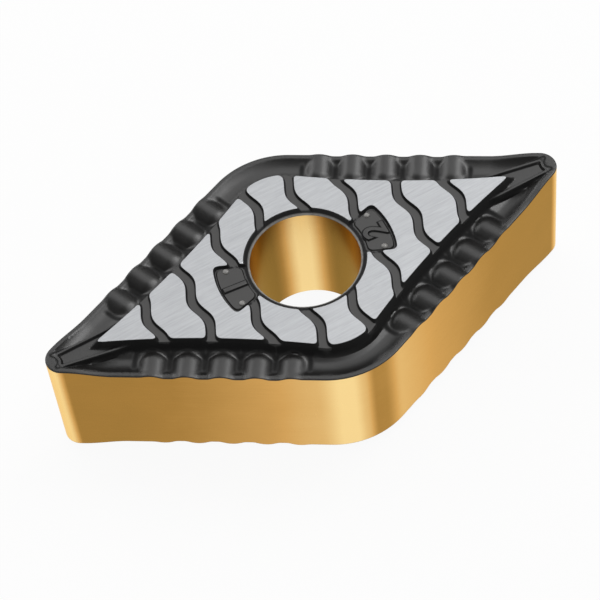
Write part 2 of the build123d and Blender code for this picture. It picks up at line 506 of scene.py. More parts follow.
# ------------------------------------------------------------------ contour lines
@dataclass
class ContourTracer:
    """Traces lines of equal value of a field over the quarter sheet."""

    field_of: Callable[[Array, Array], Array]
    width: float
    height: float
    cell: float = 0.04

    def __post_init__(self) -> None:
        """Samples the field once on an even grid."""
        self.xs = np.arange(0.0, self.width + self.cell, self.cell)
        self.ys = np.arange(0.0, self.height + self.cell, self.cell)
        grid_x, grid_y = np.meshgrid(self.xs, self.ys, indexing="ij")
        self.values = self.field_of(grid_x, grid_y)

    def lines(self, level: float, spacing: float) -> list[Array]:
        """Lines along which the field has one value, as evenly spaced points.

        Args:
            level: The value of the field.
            spacing: Distance between points.

        Returns:
            One array of points for each line.
        """
        links: dict[tuple, list[tuple]] = {}
        points: dict[tuple, tuple[float, float]] = {}
        over = self.values > level
        mixed = over[:-1, :-1].astype(int) + over[1:, :-1] + over[:-1, 1:] + over[1:, 1:]
        for i, j in zip(*np.nonzero((mixed > 0) & (mixed < 4))):
            ends = [key for key in self._cell_edges(i, j) if self._crossing(key, level, points)]
            if len(ends) == 4:
                ends = ends[:2] if over[i, j] else ends
            for a, b in zip(ends[::2], ends[1::2]):
                links.setdefault(a, []).append(b)
                links.setdefault(b, []).append(a)
        return [self._even(line, spacing) for line in self._chains(links, points)]

    @staticmethod
    def _cell_edges(i: int, j: int) -> tuple:
        """The four grid edges of a cell: (x index, y index, direction)."""
        return ((i, j, 0), (i + 1, j, 1), (i, j + 1, 0), (i, j, 1))

    def _crossing(self, key: tuple, level: float, points: dict) -> bool:
        """Notes where the line crosses a grid edge, if it does.

        Args:
            key: The grid edge.
            level: The value of the field.
            points: Where crossings are noted.

        Returns:
            Whether the line crosses.
        """
        i, j, way = key
        first = self.values[i, j]
        second = self.values[i + 1, j] if way == 0 else self.values[i, j + 1]
        if (first > level) == (second > level):
            return False
        share = (level - first) / (second - first) * self.cell
        x, y = self.xs[i], self.ys[j]
        points[key] = (x + share, y) if way == 0 else (x, y + share)
        return True

    @staticmethod
    def _chains(links: dict, points: dict) -> list[Array]:
        """Joins the crossings into open and closed lines.

        Args:
            links: The neighbours of each crossing.
            points: Where the crossings lie.

        Returns:
            The lines.
        """
        left = dict(links)
        chains = []
        for start in sorted(links, key=lambda key: len(links[key])):
            if start not in left:
                continue
            chain, here = [start], start
            left.pop(start)
            while True:
                onward = [key for key in links[here] if key in left]
                if not onward:
                    break
                here = onward[0]
                left.pop(here)
                chain.append(here)
            if len(chain) > 3 and start in links[here] and len(links[start]) == 2:
                chain.append(start)
            chains.append(np.array([points[key] for key in chain]))
        return chains

    @staticmethod
    def _even(line: Array, spacing: float) -> Array:
        """Spaces the points of a line evenly and keeps its two ends.

        Args:
            line: The points.
            spacing: Distance between the new points.

        Returns:
            The new points.
        """
        steps = np.r_[0.0, np.cumsum(np.linalg.norm(np.diff(line, axis=0), axis=1))]
        count = max(2, int(round(steps[-1] / spacing)))
        wanted = np.linspace(0.0, steps[-1], count + 1)
        return np.c_[np.interp(wanted, steps, line[:, 0]), np.interp(wanted, steps, line[:, 1])]


# ------------------------------------------------------------------ the insert's sheet
@dataclass
class QuarterSheet:
    """A flat quarter of the upper half, cut along every crisp line, with its plan distances."""

    sizes: InsertSizes
    rim_spacing: float = 0.076
    pad_spacing: float = 0.24
    line_spacing: float = 0.075
    rib_thinning: float = 0.8
    sides_until: float = 10.2
    rib_from: float = 8.3
    edge_rows: tuple = ((0.0, 0.045), (0.014, 0.013), (0.045, 0.0))
    bore_rows: tuple = ((0.0, 0.06), (0.03, 0.02), (0.07, 0.0))
    pad_levels: tuple = (0.0, -0.05, -0.155, -0.24)
    tablet_levels: tuple = (0.0, 0.05)
    side_levels: tuple = (-0.085, -0.16, -0.22, -0.28, -0.34, -0.40, -0.46)
    rib_levels: tuple = (0.18, 0.14, 0.09, 0.045, 0.0, -0.05, -0.11, -0.17)
    length: float = 12.9
    width: float = 6.7
    drawn: int = 0
    points: list = field(default_factory=list)
    ties: list = field(default_factory=list)

    def plan(self, x: Array, y: Array) -> SeatPlan:
        """The plan's distances at some points."""
        return SeatPlan(self.sizes, x, y)

    def _add_line(self, line: Array) -> None:
        """Adds a line of tied points.

        Args:
            line: The points.
        """
        first = len(self.points)
        self.points.extend(tuple(p) for p in line)
        self.ties.extend((n, n + 1) for n in range(first, first + len(line) - 1))

    def _add_kept(self, line: Array, keep: Array) -> None:
        """Adds each unbroken run of a line's kept points.

        Args:
            line: The points of the line.
            keep: Whether each of them is kept.
        """
        ends = np.flatnonzero(np.diff(np.r_[False, keep, False].astype(int)))
        for first, last in zip(ends[::2], ends[1::2]):
            if last - first > 3:
                self._add_line(line[first:last])

    def _bore_line(self, grown: float) -> Array:
        """A quarter circle round the bore.

        Args:
            grown: How far outside the bore it lies.

        Returns:
            The points.
        """
        radius = self.sizes.bore_radius + grown
        turns = np.linspace(0.0, math.pi / 2, 61)
        return np.c_[radius * np.cos(turns), radius * np.sin(turns)]

    def _off_bore(self, plan: SeatPlan) -> Array:
        """Whether points lie outside the rows round the bore."""
        return plan.bore_gap > self.bore_rows[-1][0] + 0.03

    def _scatter(self, spacing: float, share: float, keep: Callable) -> None:
        """Adds an even triangular scatter of points, clear of the lines drawn so far.

        Args:
            spacing: Distance between points.
            share: How much of the spacing stays clear round the lines' points.
            keep: Says where points are wanted.
        """
        xs = np.arange(spacing / 2, self.length, spacing)
        ys = np.arange(spacing / 2, self.width, spacing * 0.866)
        grid_x, grid_y = np.meshgrid(xs, ys)
        grid_x = grid_x + (np.arange(len(ys)) % 2)[:, None] * spacing / 2
        points = np.c_[grid_x.ravel(), grid_y.ravel()]
        points = points[keep(self.plan(*points.T))]
        gap, cells = spacing * share, {}
        for px, py in np.array(self.points[:self.drawn]):
            cells.setdefault((int(px / gap), int(py / gap)), []).append((px, py))
        for px, py in points:
            i, j = int(px / gap), int(py / gap)
            near = [q for a in (-1, 0, 1) for b in (-1, 0, 1)
                    for q in cells.get((i + a, j + b), ())]
            if all((px - qx) ** 2 + (py - qy) ** 2 > gap * gap for qx, qy in near):
                self.points.append((px, py))

    def _add_axis(self, axis: int, end: float) -> None:
        """Fills an axis, from the bore on, between the points that lines already put there.

        Args:
            axis: 0 for the long axis or 1 for the short one.
            end: Where the axis meets the cutting edge.
        """
        drawn = np.array(self.points[:self.drawn])
        taken = drawn[np.abs(drawn[:, 1 - axis]) < 1e-6, axis]
        stops = sorted(set([self.sizes.bore_radius, end, *taken]))
        for low, high in zip(stops[:-1], stops[1:]):
            count = max(1, int(round((high - low) / (self.rim_spacing * 1.3))))
            for k in range(1, count):
                place = [0.0, 0.0]
                place[axis] = low + (high - low) * k / count
                self.points.append(tuple(place))

    def lay_out(self) -> None:
        """Places every point and tied line of the sheet."""
        for inset in [row[0] for row in self.edge_rows] + [self.sizes.land_width]:
            self._add_line(self.sizes.outline(inset, self.line_spacing))
        for grown, _ in self.bore_rows:
            self._add_line(self._bore_line(grown))
        for name, levels, length, width, thinning, keep in (
            ("seat_fall", self.pad_levels, 12.0, 6.0, 1.0, self._off_bore),
            ("tablet", self.tablet_levels, 12.0, 6.0, 1.0, self._off_bore),
            ("side_gap", self.side_levels, 12.0, 6.0, 1.0, lambda p: p.x < self.sides_until),
            ("rib_gap", self.rib_levels, 12.9, 2.0, self.rib_thinning,
             lambda p: (p.side_gap < -0.02) & (p.x > self.rib_from)),
        ):
            tracer = ContourTracer(lambda x, y: getattr(self.plan(x, y), name), length, width)
            for level in levels:
                for line in tracer.lines(level, self.line_spacing * thinning):
                    self._add_kept(line, keep(self.plan(*line.T)))
        self.drawn = len(self.points)
        self._add_axis(0, self.sizes.nose_centre + self.sizes.nose_radius)
        self._add_axis(1, self.sizes.blunt_centre + self.sizes.blunt_radius)
        self.drawn = len(self.points)
        self._scatter(self.rim_spacing, 0.55,
                      lambda p: (p.inset > 0.06) & self._off_bore(p) & (p.seat_fall < -0.01))
        self._scatter(self.pad_spacing, 0.5, lambda p: p.seat_fall > 0.1)

    def _triangles(self, flat: Array, made: list, on_edge: Array, on_bore: Array) -> list:
        """Leaves out the triangles beyond the sheet and the slivers on its borders.

        Args:
            flat: The points.
            made: The triangles between them.
            on_edge: Which points lie on the cutting edge.
            on_bore: Which points lie on the bore.

        Returns:
            The triangles that belong to the sheet.
        """
        kept = []
        for face in made:
            corners = list(face)
            if on_edge[corners].all() or on_bore[corners].all():
                continue
            if np.abs(flat[corners]).max(axis=0).min() < ON_AXIS:
                continue
            if math.hypot(*flat[corners].mean(axis=0)) > self.sizes.bore_radius:
                kept.append(tuple(face))
        return kept

    def build(self) -> Thing:
        """Joins the points into triangles, hangs the walls and stores the distances.

        Returns:
            The sheet as an object, in millimetres, still flat.
        """
        self.lay_out()
        result = delaunay_2d_cdt([Vector(p) for p in self.points], self.ties, [], 0, 1e-5, False)
        flat = np.array([tuple(v) for v in result[0]])
        plan = self.plan(*flat.T)
        on_edge, on_bore = np.abs(plan.inset) < ON_EDGE, np.abs(plan.bore_gap) < ON_BORE
        faces = self._triangles(flat, result[2], on_edge, on_bore)
        eased = np.zeros(len(flat))
        for rows, distance in ((self.edge_rows, plan.inset), (self.bore_rows, plan.bore_gap)):
            for offset, drop in rows:
                eased[np.abs(distance - offset) < ON_ROW] = drop
        finish = []
        for face in faces:
            middle = flat[list(face)].mean(axis=0)
            inside = self.plan(middle[:1], middle[1:]).seat_fall[0] > PAD_INSIDE
            on_pad = plan.seat_fall[list(face)].min() > PAD_BORDER and inside
            finish.append(Finish.SEAT if on_pad else Finish.RAKE)
        place, kind, eased = list(map(tuple, flat)), [Row.TOP.value] * len(flat), list(eased)
        edge = sorted(np.flatnonzero(on_edge).tolist(), key=lambda n: flat[n, 0])
        bore = sorted(np.flatnonzero(on_bore).tolist(), key=lambda n: -flat[n, 0])
        for above in (edge, bore):
            rim = above
            for row in (Row.BELOW, Row.MIDDLE, Row.WAIST):
                below = list(range(len(place), len(place) + len(rim)))
                place += [tuple(flat[n]) for n in rim]
                kind += [row.value] * len(rim)
                eased += [eased[n] for n in rim]
                faces += [(above[k + 1], below[k + 1], below[k], above[k])
                          for k in range(len(rim) - 1)]
                finish += [Finish.FLANK] * (len(rim) - 1)
                above = below
        mesh = bpy.data.meshes.new("quarter_sheet")
        mesh.from_pydata([(x, y, 0.0) for x, y in place], [], faces)
        whole = self.plan(*np.array(place).T)
        fields = {name: getattr(whole, name) for name in (
            "along", "inset", "side_gap", "seat_fall", "rib_gap", "tone", "shade", "tablet",
            "bore_gap")}
        for name, values in {**fields, "wall": kind, "eased": eased}.items():
            layer = mesh.attributes.new(name, "FLOAT", "POINT")
            layer.data.foreach_set("value", np.asarray(values, np.float32))
        layer = mesh.attributes.new("finish", "INT", "FACE")
        layer.data.foreach_set("value", np.array(finish, np.int32))
        LOG.info("quarter sheet: %d points, %d faces", len(place), len(faces))
        return new_object("insert_body", mesh)


# ------------------------------------------------------------------ geometry node trees
class NodeTree(NodeMaker):
    """A geometry node tree with named inputs."""

    def __init__(self, name: str) -> None:
        """Starts a tree with one geometry input and output.

        Args:
            name: The tree's name.
        """
        super().__init__(bpy.data.node_groups.new(name, "GeometryNodeTree"))
        self.tree.is_modifier = True
        for way in ("INPUT", "OUTPUT"):
            self.tree.interface.new_socket("Geometry", in_out=way,
                                           socket_type="NodeSocketGeometry")
        self.open_ends()

    def attribute(self, name: str, kind: str = "FLOAT") -> Term:
        """Reads a stored attribute."""
        return self.term("GeometryNodeInputNamedAttribute", {"Name": name}, "Attribute",
                         data_type=kind)

    def place(self) -> list[Term]:
        """The x, y and z of each point."""
        return self.split(self.term("GeometryNodeInputPosition"))

    def shape(self, kind: str, geometry: Term, **inputs: object) -> Term:
        """Passes geometry through a node whose other inputs are named by the keywords."""
        named = {name.title(): value for name, value in inputs.items()}
        return self.term("GeometryNode" + kind, {"Geometry": geometry, **named})

    def repeat(self, count: int, thing: Term, rotation: Term | None = None,
               position: Term | None = None) -> Term:
        """Places copies of a thing on points, turned or moved by their index.

        Args:
            count: How many copies.
            thing: The geometry to copy.
            rotation: Turn of each copy, by its index.
            position: Place of each copy, by its index.

        Returns:
            The copies.
        """
        spots = self.term("GeometryNodeMeshLine", {"Count": count, "Offset": (0.0, 0.0, 0.0)})
        inputs = {"Instance": thing}
        if position is not None:
            spots = self.shape("SetPosition", spots, position=position)
        if rotation is not None:
            inputs["Rotation"] = rotation
        return self.term("GeometryNodeInstanceOnPoints", {"Points": spots, **inputs})

    def finish(self, geometry: Term, materials: Sequence[tuple]) -> None:
        """Ends the tree with Realize Instances and Set Material.

        Args:
            geometry: The geometry to end with.
            materials: Pairs of a selection, or True for all faces, and a material.
        """
        last = self.shape("RealizeInstances", geometry)
        for selection, material in materials:
            last = self.shape("SetMaterial", last, selection=selection, material=material)
        self.tree.links.new(last.socket, self.end.inputs[0])

    def apply_to(self, source: Thing) -> Thing:
        """Runs the tree on an object and keeps the result as its plain mesh.

        Args:
            source: The object whose mesh goes in.

        Returns:
            The same object with its finished mesh.
        """
        modifier = source.modifiers.new(self.tree.name, "NODES")
        modifier.node_group = self.tree
        for socket in self.names.values():
            modifier[socket.identifier] = socket.default_value
        made = plain_mesh(source)
        source.modifiers.remove(modifier)
        source.data = made
        return source


@dataclass
class ReliefTree:
    """The rule that raises the flat sheet into rim, fingers, rib and seat, and repeats it."""

    sizes: InsertSizes
    finishes: dict

    def _rim(self, tree: NodeTree) -> Term:
        """Height of the rim: land, groove, finger ridges and the climb to the nose.

        Args:
            tree: The tree.

        Returns:
            The height.
        """
        s = self.sizes
        along, inset = tree.attribute("along"), tree.attribute("inset")
        land, groove, depth, lift, open_to = tree.sizes(
            land_width=s.land_width, groove_inset=0.95, groove_depth=0.19, groove_lift=0.09,
            groove_end=s.rib_end)
        climb_from, climb_to, climb = tree.sizes(
            climb_start=8.3, climb_end=10.5, climb=s.nose_height - s.rim_height)
        first, pitch, count, straight = tree.sizes(
            first_finger=s.finger_first, finger_pitch=s.finger_pitch, finger_count=s.fingers,
            finger_straight_length=s.finger_straight)
        rise_by, fall, round_over, dip, trench = tree.sizes(
            finger_rise=0.075, finger_fall=0.055, finger_roundness=0.92, hollow_dip=0.085,
            trench_depth=0.13)

        climbed = along.ramp(climb_from, climb_to)
        down = ((inset - land) / (groove - land)).within(0.0, 1.0)
        ahead_of_end = tree.place()[0].ramp(open_to - 0.35, open_to).rest()
        bowl = down.rest().math("POWER", 2.0).rest() * ahead_of_end
        sunk = bowl * depth * (climbed * 0.45 + 1.0) - inset.ramp(groove, groove + 0.5) * lift
        last = first + (count - 1.0) * pitch
        in_bank = along.ramp(first - 0.2, first + 0.3) * along.ramp(last - 0.3, last + 0.2).rest()
        between = inset.ramp(0.1, 0.8) * inset.ramp(1.1, 1.5).rest()
        hollow = in_bank * (dip * inset.ramp(0.1, 0.8).rest() + trench * between)
        valley = (sunk + hollow) * -1.0

        number = ((along - first) / pitch).math("ROUND").within(0.0, count - 1.0)
        aside = along - first - number * pitch
        ahead = (inset - straight).math("MAXIMUM", 0.0)
        away = aside * aside + ahead * ahead
        finger = rise_by - inset * fall - away / (round_over * 2.0)
        return valley.math("SMOOTH_MAX", finger, 0.12) + climbed * climb

    def _height(self, tree: NodeTree) -> Term:
        """Height of every point: the highest of rim, rib, pedestal and pads.

        Args:
            tree: The tree.

        Returns:
            The height.
        """
        s = self.sizes
        rim_height, seat_height, floor_height, rib_height, rib_sink, slope, rise_by = tree.sizes(
            rim_height=s.rim_height, seat_height=s.seat_height, floor_height=s.floor_height,
            rib_height=s.nose_height - 0.055, rib_channel_depth=0.11,
            pedestal_slope=s.side_slope, tablet_rise=s.tablet_rise)
        side_gap, seat_fall, rib_gap, tablet, wall, eased = map(
            tree.attribute, ("side_gap", "seat_fall", "rib_gap", "tablet", "wall", "eased"))
        rim = self._rim(tree) + rim_height
        rib = rib_height + rib_gap.math("MINIMUM", 0.0) * 2.4 - rib_gap.ramp(0.09, 0.18) * rib_sink
        pedestal = (seat_height + side_gap * slope).math("MINIMUM", floor_height)
        pedestal = pedestal + (tablet / 0.05).within(0.0, 1.0) * rise_by
        height = rim
        for other, width in ((rib, 0.045), (pedestal, 0.06),
                             ((seat_height + seat_fall).math("MINIMUM", seat_height), 0.015)):
            height = height.math("SMOOTH_MAX", other, width)
        return (height - eased) * wall

    def make(self) -> NodeTree:
        """Builds the tree that raises the sheet and repeats it eight times.

        Returns:
            The finished tree.
        """
        tree = NodeTree("insert_relief")
        x, y, _ = tree.place()
        sheet = tree.shape("SetPosition", Term(tree, tree.start.outputs[0]),
                           position=tree.joined(x, y, self._height(tree)))
        scaled = tree.shape("Transform", sheet, scale=(MM, MM, MM))
        mirrored = tree.shape("Transform", scaled, scale=(1.0, -1.0, 1.0))
        turned_out = tree.term("GeometryNodeFlipFaces", {0: mirrored})
        half = tree.add("GeometryNodeJoinGeometry")
        for part in (scaled, turned_out):
            tree.tree.links.new(part.socket, half.inputs[0])
        index = tree.term("GeometryNodeInputIndex")
        over = (index / 2.0).math("FLOOR") * math.pi
        about = index.math("MODULO", 2.0) * math.pi
        quarters = tree.repeat(4, Term(tree, half.outputs[0]), tree.joined(over, 0.0, about))
        whole = tree.shape("RealizeInstances", quarters)
        joined = tree.shape("MergeByDistance", whole, distance=2e-6)
        finish = tree.attribute("finish", "INT")
        tree.finish(joined, [(tree.term("FunctionNodeCompare", {2: finish, 3: int(kind)},
                                        data_type="INT", operation="EQUAL"), material)
                             for kind, material in self.finishes.items()])
        return tree


# ------------------------------------------------------------------ shader node groups
class ShaderMaker(NodeMaker):
    """A shader node group or a material's tree."""

    @classmethod
    def group(cls, name: str) -> "ShaderMaker":
        """Starts a shader node group.

        Args:
            name: The group's name.

        Returns:
            The group's maker.
        """
        made = cls(bpy.data.node_groups.new(name, "ShaderNodeTree"))
        made.open_ends()
        return made

    @classmethod
    def material(cls, name: str) -> "ShaderMaker":
        """Starts a material and keeps it with its Principled BSDF.

        Args:
            name: The material's name.

        Returns:
            The material's maker.
        """
        material = bpy.data.materials.new(name)
        material.use_nodes = True
        made = cls(material.node_tree)
        made.owner, made.shader = material, material.node_tree.nodes.get("Principled BSDF")
        return made

    def result(self, name: str, value: Term) -> None:
        """Adds a named output to a group and joins a value to it."""
        self.tree.interface.new_socket(name, in_out="OUTPUT", socket_type="NodeSocketFloat")
        self.tree.links.new(value.socket, self.end.inputs[name])

    def use(self, group: Tree, **values: object) -> dict[str, Term]:
        """Places a group in this tree with its own values.

        Args:
            group: The group.
            values: Values or terms for its inputs, by name.

        Returns:
            Its results by name.
        """
        inputs = {name.title(): value for name, value in values.items()}
        node = self.add("ShaderNodeGroup", inputs, node_tree=group)
        return {socket.name: Term(self, socket) for socket in node.outputs}

    def place(self) -> Term:
        """The point's place on the object."""
        return self.term("ShaderNodeTexCoord", output="Object")

    def attribute(self, name: str) -> Term:
        """Reads a value stored on the mesh."""
        return self.term("ShaderNodeAttribute", output="Fac", attribute_name=name)

    def noise(self, scale: Number, detail: float, roughness: float,
              vector: Term | None = None) -> Term:
        """Noise by the point's place on the object, or by another vector."""
        return self.term("ShaderNodeTexNoise", {"Vector": vector or self.place(), "Scale": scale,
                                                "Detail": detail, "Roughness": roughness})

    def spread(self, value: Term, span: tuple, results: tuple) -> Term:
        """Maps a span of values evenly onto a span of results."""
        return self.term("ShaderNodeMapRange", dict(enumerate((value, *span, *results))))

    def ramp(self, value: Term, stops: Sequence[tuple]) -> Term:
        """Turns a value into a colour.

        Args:
            value: The value.
            stops: Pairs of a place from 0 to 1 and a colour.

        Returns:
            The colour.
        """
        node = self.add("ShaderNodeValToRGB", {0: value})
        while len(node.color_ramp.elements) < len(stops):
            node.color_ramp.elements.new(0.5)
        for element, (place, colour) in zip(node.color_ramp.elements, stops):
            element.position = place
            element.color = (*colour, 1.0)
        return Term(self, node.outputs[0])

    def dress(self, colour: Term, rough: Term, height: Term, strength: float,
              **constants: object) -> Material:
        """Joins what varies to the shader, sets what doesn't and gives the material.

        Args:
            colour: The base colour.
            rough: The roughness.
            height: Height of the finest relief.
            strength: How strongly that relief shows.
            constants: Values for the shader's own sockets, by name.

        Returns:
            The finished material.
        """
        bump = self.term("ShaderNodeBump", {"Strength": strength, "Distance": 0.00002,
                                            "Height": height})
        for name, value in (("Base Color", colour), ("Roughness", rough), ("Normal", bump)):
            self.tree.links.new(value.socket, self.shader.inputs[name])
        for name, value in constants.items():
            self.shader.inputs[name.replace("_", " ")].default_value = value
        return self.owner


class SurfaceEffects:
    """Effects that the three finishes share, as node groups."""

    def __init__(self) -> None:
        """Builds the groups once."""
        self.grinding = self._grinding_lines()
        self.grain = self._coating_grain()
        self.painted_edge_group = self._painted_edge_highlight()

    @staticmethod
    def _grinding_lines() -> Tree:
        """Fine parallel lines that a grinding wheel leaves.

        Returns:
            The group.
        """
        made = ShaderMaker.group("grinding_lines")
        turn = made.size("Turn", 0.0)
        stretch = made.size("Stretch", (900.0, 16000.0, 900.0), "Vector")
        depth = made.size("Depth", 1.0)
        turned = made.term("ShaderNodeVectorRotate", {"Vector": made.place(), "Angle": turn},
                           rotation_type="Z_AXIS")
        drawn = made.term("ShaderNodeVectorMath", {0: turned, 1: stretch}, operation="MULTIPLY")
        lines = made.noise(1.0, 4.0, 0.65, drawn).math("MULTIPLY_ADD", 1.6, -0.3, clamp=True)
        made.result("Lines", lines)
        made.result("Height", lines * depth)
        return made.tree

    @staticmethod
    def _coating_grain() -> Tree:
        """The faint pebbled grain of a coating grown from vapour.

        Returns:
            The group.
        """
        made = ShaderMaker.group("coating_grain")
        fineness, depth = made.sizes(fineness=16000.0, depth=1.0)
        grain = made.noise(fineness, 5.0, 0.6)
        made.result("Grain", grain)
        made.result("Clouds", made.noise(420.0, 3.0, 0.5))
        made.result("Height", grain * depth)
        return made.tree

    @staticmethod
    def _painted_edge_highlight() -> Tree:
        """A painted highlight: a broken thin pale line along an edge, by distance in millimetres.

        Returns:
            The group.
        """
        made = ShaderMaker.group("painted_edge_highlight_line")
        centre, width, distance = made.sizes(centre=0.0, width=0.04, distance=0.0)
        wander = made.noise(2600.0, 4.0, 0.6).math("MULTIPLY_ADD", 0.9, 0.4, clamp=True)
        near = ((distance - centre).math("ABSOLUTE") / width).math("MINIMUM", 1.0).rest()
        made.result("Painted Highlight", near * wander)
        return made.tree


# ------------------------------------------------------------------ finishes
@dataclass(frozen=True)
class FlankCoating:
    """Satin gold nitride on the side walls and the bore, with painted highlights, painted shade
    and a painted reflection in its colour.
    """

    name: str = "flank_coating"
    painted_shade_gold: tuple = (0.265, 0.150, 0.034)
    deep: tuple = (0.41, 0.218, 0.052)
    middle: tuple = (0.70, 0.395, 0.120)
    light: tuple = (1.0, 0.74, 0.330)
    sheen: tuple = (1.0, 0.82, 0.55, 1.0)
    painted_reflection_turn: float = 1.26
    painted_reflection_width: tuple = (0.0, 0.64)
    roughness: tuple = (0.27, 0.34)

    def _painted_bore_reflection(self, x: Term, y: Term) -> Term:
        """A painted reflection: a pale upright band on two opposite sides of the bore."""
        off = (y.math("ARCTAN2", x) - self.painted_reflection_turn).math("WRAP", math.pi / 2, -math.pi / 2)
        return off.math("ABSOLUTE").ramp(*self.painted_reflection_width).rest() * 1.1

    @staticmethod
    def _painted_corner_light(x: Term, y: Term) -> Term:
        """A painted highlight band down one side of each blunt corner and a painted shade band
        down the other side.

        Args:
            x: The point's x on the object.
            y: Its y.

        Returns:
            What is added to the tone.
        """
        side = x * y.math("SIGN") / MM
        painted_highlight = side.ramp(0.0, 0.7) * side.ramp(1.1, 2.2).rest()
        painted_shade = side.ramp(-1.9, -0.9) * side.ramp(-0.45, 0.1).rest()
        return painted_highlight * 0.32 - painted_shade * 0.42

    def make(self, effects: SurfaceEffects) -> Material:
        """Builds the material.

        Args:
            effects: The shared effects.

        Returns:
            The material.
        """
        made = ShaderMaker.material(self.name)
        lines = made.use(effects.grinding, stretch=(500.0, 500.0, 9000.0), depth=0.6)
        grain = made.use(effects.grain, fineness=14000.0, depth=0.5)
        x, y, _ = made.split(made.place())
        outside = made.attribute("bore_gap").ramp(0.2, 0.4)
        # The tone is mostly painted light: painted corner light and flank highlights, a painted
        # reflection in the bore, plus random clouds and lines.
        tone = ((self._painted_corner_light(x, y) + made.attribute("tone")) * outside
                + self._painted_bore_reflection(x, y) * outside.rest()
                + grain["Clouds"] * 0.08 + lines["Lines"] * 0.04 - 0.06)
        colour = made.ramp(tone, ((0.0, self.painted_shade_gold), (0.25, self.deep),
                                  (0.55, self.middle), (1.0, self.light)))
        rough = made.spread(grain["Grain"], (0.3, 0.7), self.roughness)
        return made.dress(colour, rough, lines["Height"] + grain["Height"], 0.16,
                          Metallic=1.0, Specular_Tint=self.sheen)


@dataclass(frozen=True)
class RakeCoating:
    """Black oxide ceramic on the pressed rim, the channels and the plates, with painted shade on
    walls, painted light on floors and a painted highlight line round the bore.
    """

    name: str = "rake_coating"
    # wall is the painted shade colour and floor the painted light colour; rim is the coating's own
    # black.
    wall: tuple = (0.0012, 0.0011, 0.0010)
    rim: tuple = (0.0060, 0.0056, 0.0052)
    floor: tuple = (0.015, 0.0140, 0.0130)
    painted_highlight_grey: tuple = (0.42, 0.41, 0.39)
    dull_until: tuple = (0.05, 0.42)
    dull_by: float = 0.55
    roughness: tuple = (0.31, 0.37)
    density: float = 1.58

    def make(self, effects: SurfaceEffects) -> Material:
        """Builds the material.

        Args:
            effects: The shared effects.

        Returns:
            The material.
        """
        made = ShaderMaker.material(self.name)
        grain = made.use(effects.grain, fineness=18000.0, depth=1.0)
        # Painted highlight: a broken pale line along the bore's edge.
        edge = made.use(effects.painted_edge_group, centre=0.03, width=0.085,
                        distance=made.attribute("bore_gap"))
        # The tone follows the painted shading, with random clouds and grain.
        tone = (made.attribute("shade") * 0.5 + 0.42
                + grain["Clouds"] * 0.10 + grain["Grain"] * 0.06)
        colour = made.ramp(tone, ((0.05, self.wall), (0.5, self.rim), (0.95, self.floor)))
        with_painted_edge = made.term("ShaderNodeMix", {0: edge["Painted Highlight"], 6: colour, 7: (*self.painted_highlight_grey, 1.0)},
                         2, data_type="RGBA")
        rough = made.spread(grain["Grain"], (0.3, 0.7), self.roughness)
        rough = tone.ramp(*self.dull_until).rest() * self.dull_by + rough
        return made.dress(with_painted_edge, rough, grain["Height"], 0.10, IOR=self.density)


@dataclass(frozen=True)
class GroundSeat:
    """Bare ground carbide on top of the seat pads."""

    name: str = "ground_seat"
    colour: tuple = (0.41, 0.418, 0.43)
    deep: tuple = (0.31, 0.317, 0.328)
    roughness: tuple = (0.32, 0.42)
    line_turn: float = -0.12

    def make(self, effects: SurfaceEffects) -> Material:
        """Builds the material.

        Args:
            effects: The shared effects.

        Returns:
            The material.
        """
        made = ShaderMaker.material(self.name)
        lines = made.use(effects.grinding, turn=self.line_turn,
                         stretch=(700.0, 13000.0, 700.0), depth=1.0)
        grain = made.use(effects.grain, fineness=9000.0, depth=0.2)
        tone = lines["Lines"] * 0.75 + grain["Clouds"] * 0.25
        colour = made.ramp(tone, ((0.2, self.deep), (0.75, self.colour)))
        rough = made.spread(lines["Lines"], (0.0, 1.0), self.roughness)
        return made.dress(colour, rough, lines["Height"] + grain["Height"], 0.25, Metallic=1.0)


# ------------------------------------------------------------------ sub-assemblies
def told(piece: Thing) -> Thing:
    """Reports a finished piece."""
    LOG.info("%s: %d faces", piece.name, len(piece.data.polygons))
    return piece


@dataclass
class InsertBody:
    """The one-piece insert: flanks, pressed rim and channelled seat on both faces."""

    sizes: InsertSizes
    finishes: dict
    crisp_angle: float = 32.0

    def build(self) -> Thing:
        """Builds the body.

        Returns:
            The finished piece.
        """
        sheet = QuarterSheet(self.sizes).build()
        for kind in Finish:
            sheet.data.materials.append(self.finishes[kind])
        body = ReliefTree(self.sizes, self.finishes).make().apply_to(sheet)
        return self.dress(body)

    def dress(self, body: Thing) -> Thing:
        """Shades the body smoothly up to its crisp edges and hands it over.

        Args:
            body: The body.

        Returns:
            The finished piece.
        """
        body.data.shade_smooth()
        body.data.set_sharp_from_angle(angle=math.radians(self.crisp_angle))
        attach(body, "root")
        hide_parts("insert")
        return told(body)


